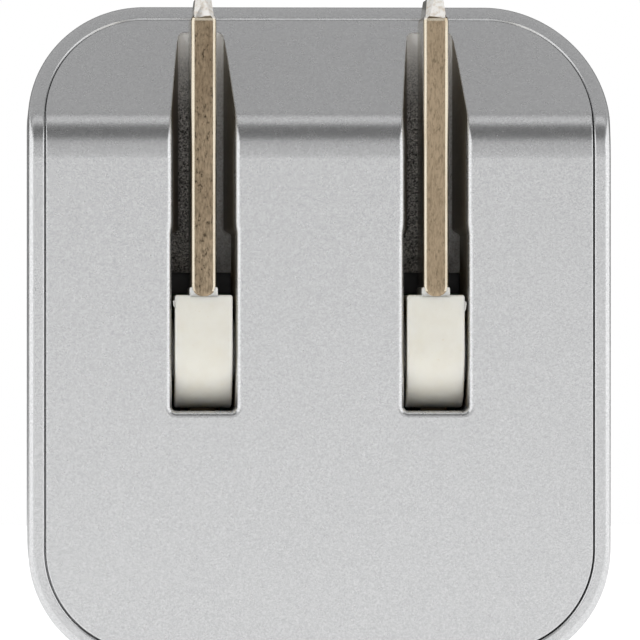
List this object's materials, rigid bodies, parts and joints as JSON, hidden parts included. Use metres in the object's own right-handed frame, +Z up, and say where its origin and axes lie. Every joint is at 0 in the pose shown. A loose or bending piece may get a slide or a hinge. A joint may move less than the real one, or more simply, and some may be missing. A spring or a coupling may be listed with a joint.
{
  "type": "usb wall charger",
  "caption": "Compact USB wall charger: silver rounded box with an inset sloped face panel, folding flat blades on a cream rocker, and a USB socket in the far end.",
  "frame": {"origin": "middle of the bottom of the whole object's box, on the surface it stands on", "axes": "+Z up along the folded blades, -Y out of the prong face, +Y out of the USB end, +X to the right as seen from the prong side"},
  "size_m": [0.0318, 0.025, 0.0366],
  "materials": {
    "case_paint": "silver metallic paint on moulded plastic, fine flake, semi-gloss",
    "carrier_nylon": "cream moulded nylon, smooth satin",
    "blade_nickel": "nickel-plated brass, plating worn and tarnished on the narrow edges",
    "bracket_plastic": "black moulded plastic",
    "screw_steel": "zinc-plated steel",
    "spring_steel": "rolled spring steel",
    "contact_bronze": "phosphor bronze strip",
    "board_laminate": "green solder mask over glass laminate",
    "socket_steel": "nickel-plated sheet steel",
    "socket_plastic": "white moulded insulator",
    "contact_gold": "gold-flashed contact strip",
    "ferrite": "sintered ferrite",
    "bobbin_plastic": "black moulded former",
    "copper_wire": "enamelled copper wire",
    "tape": "yellow polyester tape",
    "capacitor_can": "drawn aluminium",
    "input_sleeve": "dark blue shrink sleeve",
    "output_sleeve": "dark green shrink sleeve",
    "resistor_body": "tan conformal coating",
    "chip_epoxy": "black moulded epoxy",
    "disc_coating": "blue epoxy dip",
    "film": "translucent polyester film"
  },
  "bodies": {
    "case": {"main_shell": "case_paint", "prong_panel": "case_paint", "carrier_bracket": "bracket_plastic", "bracket_screws": "screw_steel", "detent_spring": "spring_steel", "contact_spring_left": "contact_bronze", "contact_spring_right": "contact_bronze", "main_board": "board_laminate", "usb_shell": "socket_steel", "usb_tongue": "socket_plastic", "usb_contacts": "contact_gold", "transformer_core": "ferrite", "transformer_bobbin": "bobbin_plastic", "transformer_winding": "copper_wire", "transformer_tape": "tape", "input_capacitor_cans": "capacitor_can", "input_capacitor_sleeves": "input_sleeve", "output_capacitor_can": "capacitor_can", "output_capacitor_sleeve": "output_sleeve", "filter_inductor_core": "ferrite", "filter_inductor_winding": "copper_wire", "fuse_resistor": "resistor_body", "bridge_rectifier": "chip_epoxy", "controller_chip": "chip_epoxy", "optocoupler": "chip_epoxy", "output_diode": "chip_epoxy", "y_capacitor": "disc_coating", "insulation_sheet": "film"},
    "blades": {"blade_carrier": "carrier_nylon", "blade_left": "blade_nickel", "blade_right": "blade_nickel"}
  },
  "joints": [
    {"name": "blade_fold", "type": "hinge", "parent": "case", "child": "blades", "pos_m": [0, -0.0093, 0.0174], "axis": [1, 0, 0], "range_deg": [0, 90]}
  ]
}
